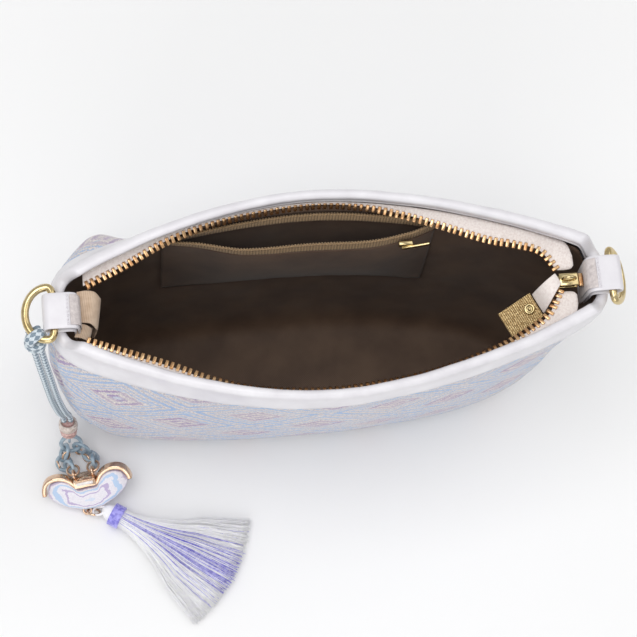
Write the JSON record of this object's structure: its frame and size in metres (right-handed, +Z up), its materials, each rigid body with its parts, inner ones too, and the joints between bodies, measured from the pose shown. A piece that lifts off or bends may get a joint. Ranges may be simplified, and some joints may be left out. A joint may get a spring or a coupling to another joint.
{
  "type": "brocade zip purse with tassel charm",
  "caption": "Woven brocade purse with a leather rim, open zip, ring tabs at both ends, an inner pocket and a corded tassel charm; it stands on its base.",
  "frame": {"origin": "middle of the base, on the surface the purse stands on", "axes": "+Z up, +X to the right along the mouth seen from the front, -Y to the front"},
  "size_m": [0.2493, 0.1524, 0.13],
  "materials": {
    "brocade": "woven brocade with a metallic thread",
    "leather": "smooth pearl-white",
    "lining": "plain woven",
    "tape": "woven tape",
    "coil": "woven tape with a nylon coil",
    "teeth": "polished",
    "gold": "polished, pale gold",
    "plate": "fine woven pattern",
    "cord": "braided silk",
    "bead": "satin",
    "link": "gloss enamel",
    "frame": "polished, pale gold",
    "silk": "loose silk thread",
    "violet": "bound silk thread"
  },
  "bodies": {
    "purse": {"brocade_body": "brocade", "lining": "lining", "front_rim": "leather", "back_rim": "leather", "zip_teeth_front": "teeth", "zip_tape_front": "tape", "zip_teeth_back": "teeth", "zip_tape_back": "tape", "zip_slider": "gold", "zip_closed_end": "teeth", "pull_plate": "plate", "pull_rivet": "gold", "pull_strap": "tape", "pocket_panel": "lining", "pocket_zip_front": "coil", "pocket_zip_back": "coil", "pocket_slider": "plate", "left_tab": "leather", "right_tab": "leather", "left_ring": "gold", "cord_knot": "cord", "cord_strand_left": "cord", "cord_strand_right": "cord", "cord_bead": "bead", "chain_link_top": "link", "chain_link_left_1": "link", "chain_link_left_2": "link", "chain_link_left_3": "link", "jump_ring_left": "frame", "chain_link_right_1": "link", "chain_link_right_2": "link", "chain_link_right_3": "link", "jump_ring_right": "frame", "lock_pad": "brocade", "lock_frame": "frame", "tassel": "silk", "tassel_band": "violet", "tassel_ring": "frame"},
    "right_ring_body": {"right_ring": "gold"}
  },
  "joints": [
    {"name": "right_ring_hinge", "type": "hinge", "parent": "purse", "child": "right_ring_body", "pos_m": [0.11482, 0.001, 0.1255], "axis": [0, 1, 0], "range_deg": [-145, 0]}
  ]
}
